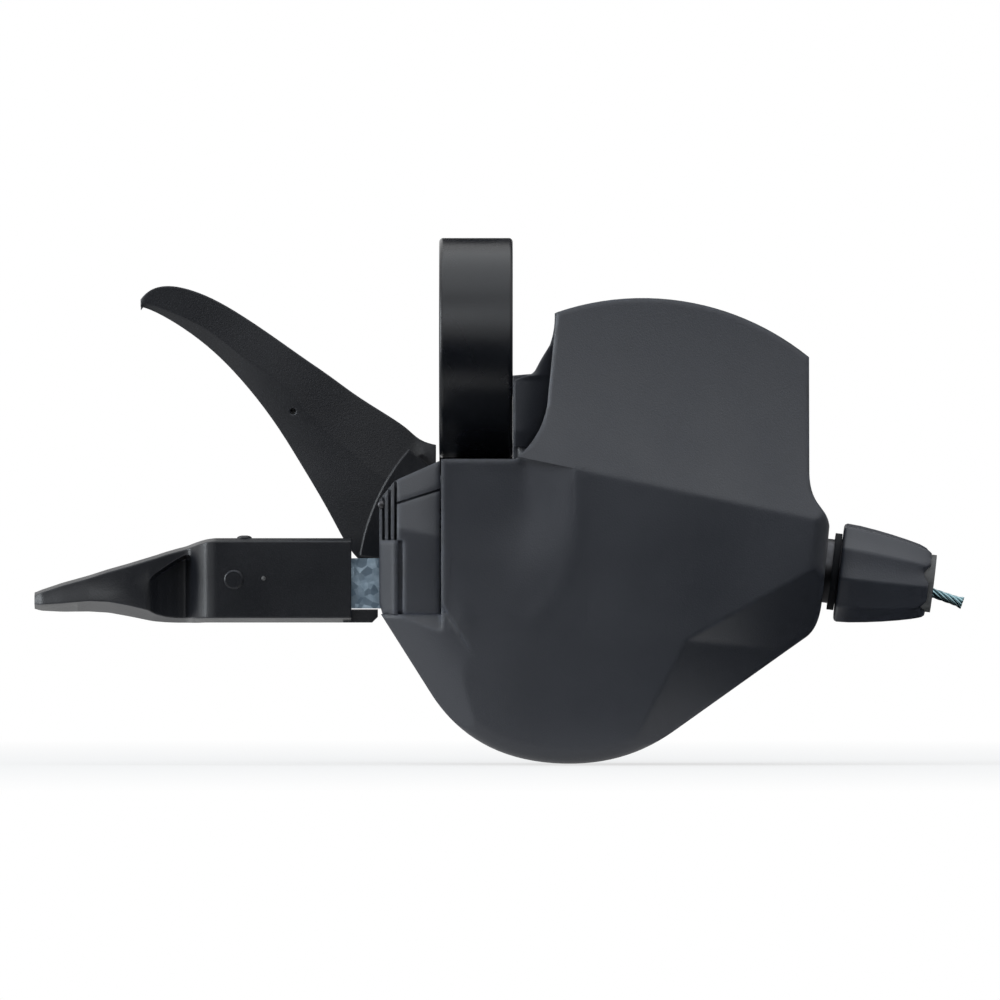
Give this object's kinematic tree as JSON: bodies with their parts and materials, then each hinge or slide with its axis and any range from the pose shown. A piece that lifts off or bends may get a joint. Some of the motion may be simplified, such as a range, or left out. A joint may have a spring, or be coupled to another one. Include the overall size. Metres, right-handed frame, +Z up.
{
  "type": "trigger gear shifter",
  "caption": "Right-hand trigger gear shifter for a flat handlebar: clamp band, arched display pod, thumb lever, finger release lever, cable drum and barrel adjuster.",
  "frame": {"origin": "Centre of the handlebar clamp bore.", "axes": "X runs along the handlebar towards the middle of the bicycle, -Y points forward, away from the rider, and Z is up."},
  "size_m": [0.1161, 0.0394, 0.0655],
  "materials": {
    "housing_plastic": "fine satin grain, black",
    "lever_plastic": "satin gloss black",
    "band_black": "satin black anodised look",
    "clear_lens": "clear moulded window",
    "dial_white": "white printed strip",
    "needle_orange": "bright orange",
    "fastener_steel": "dark plated steel",
    "zinc_steel": "bluish zinc plated sheet",
    "drum_plastic": "grey acetal",
    "bush_plastic": "natural acetal",
    "spring_steel": "bright drawn wire",
    "cable_steel": "stranded wire",
    "nipple_metal": "cast grey",
    "barrel_plastic": "satin black with flutes",
    "adjuster_metal": "black anodised",
    "seat_plastic": "grey moulded",
    "ring_rubber": "black rubber"
  },
  "bodies": {
    "housing": {"front_cover": "housing_plastic", "side_guard": "housing_plastic", "rear_case": "housing_plastic", "display_base": "housing_plastic", "display_lens": "clear_lens", "dial_plate": "dial_white", "needle_pin": "fastener_steel", "clamp_band": "band_black", "clamp_bolt": "fastener_steel", "bracket_screw": "fastener_steel", "base_plate": "zinc_steel", "main_axle": "fastener_steel", "axle_washer": "fastener_steel", "axle_nut": "fastener_steel", "cable_guide": "bush_plastic", "shift_cable": "cable_steel", "cable_port_plug": "lever_plastic", "cover_screws": "fastener_steel", "holding_pawl_pin": "fastener_steel", "holding_pawl_spring": "spring_steel", "main_lever_spring": "spring_steel", "release_lever_spring": "spring_steel"},
    "main_lever": {"main_lever_plate": "zinc_steel", "main_lever_blade": "lever_plastic", "main_lever_bush": "bush_plastic", "feed_pawl_pin": "fastener_steel", "feed_pawl_spring": "spring_steel"},
    "feed_pawl_body": {"feed_pawl": "zinc_steel"},
    "release_lever": {"release_lever_plate": "zinc_steel", "release_lever_grip": "lever_plastic", "release_lever_bush": "bush_plastic"},
    "drum": {"cable_drum": "drum_plastic", "index_ratchet": "zinc_steel", "drive_ratchet": "zinc_steel", "cable_nipple": "nipple_metal", "drum_spring": "spring_steel"},
    "holding_pawl_body": {"holding_pawl": "zinc_steel"},
    "display_needle": {"needle": "needle_orange"},
    "adjuster_carrier": {"adjuster_ring": "ring_rubber"},
    "adjuster": {"adjuster_barrel": "barrel_plastic", "adjuster_bolt": "adjuster_metal", "adjuster_seat": "seat_plastic"}
  },
  "joints": [
    {"name": "main_lever_swing", "type": "hinge", "parent": "housing", "child": "main_lever", "pos_m": [0.012, 0, -0.0301], "axis": [0, -1, 0], "range_deg": [0, 32.73], "stiffness_Nm_per_rad": 0.35, "springref_deg": -22.92},
    {"name": "feed_pawl_swing", "type": "hinge", "parent": "main_lever", "child": "feed_pawl_body", "pos_m": [-0.00324, 0, -0.0213], "axis": [0, -1, 0], "range_deg": [0, 9], "stiffness_Nm_per_rad": 0.001},
    {"name": "release_lever_swing", "type": "hinge", "parent": "housing", "child": "release_lever", "pos_m": [0.012, 0, -0.0301], "axis": [0, 1, 0], "range_deg": [0, 12], "stiffness_Nm_per_rad": 0.5, "springref_deg": -17.19},
    {"name": "drum_turn", "type": "hinge", "parent": "housing", "child": "drum", "pos_m": [0.012, 0, -0.0301], "axis": [0, -1, 0], "range_deg": [0, 109.09], "deforming": ["shift_cable", "drum_spring"]},
    {"name": "holding_pawl_swing", "type": "hinge", "parent": "housing", "child": "holding_pawl_body", "pos_m": [0.0208, 0, -0.04534], "axis": [0, -1, 0], "range_deg": [0, 9], "stiffness_Nm_per_rad": 0.001},
    {"name": "needle_swing", "type": "hinge", "parent": "housing", "child": "display_needle", "pos_m": [0.0207, 0, -0.0267], "axis": [0, -1, 0], "range_deg": [0, 38.18]},
    {"name": "adjuster_travel", "type": "slide", "parent": "housing", "child": "adjuster_carrier", "axis": [0.9925, 0, -0.1219], "range_m": [0, 0.0016]},
    {"name": "adjuster_turn", "type": "hinge", "parent": "adjuster_carrier", "child": "adjuster", "pos_m": [0.04525, -0.006, -0.028], "axis": [0.9925, 0, -0.1219], "range_deg": [0, 720]}
  ],
  "couplings": [
    {"joint": "needle_swing", "follows": "drum_turn", "ratio": 0.35},
    {"joint": "adjuster_turn", "follows": "adjuster_travel", "rad_per_m": 7854}
  ]
}
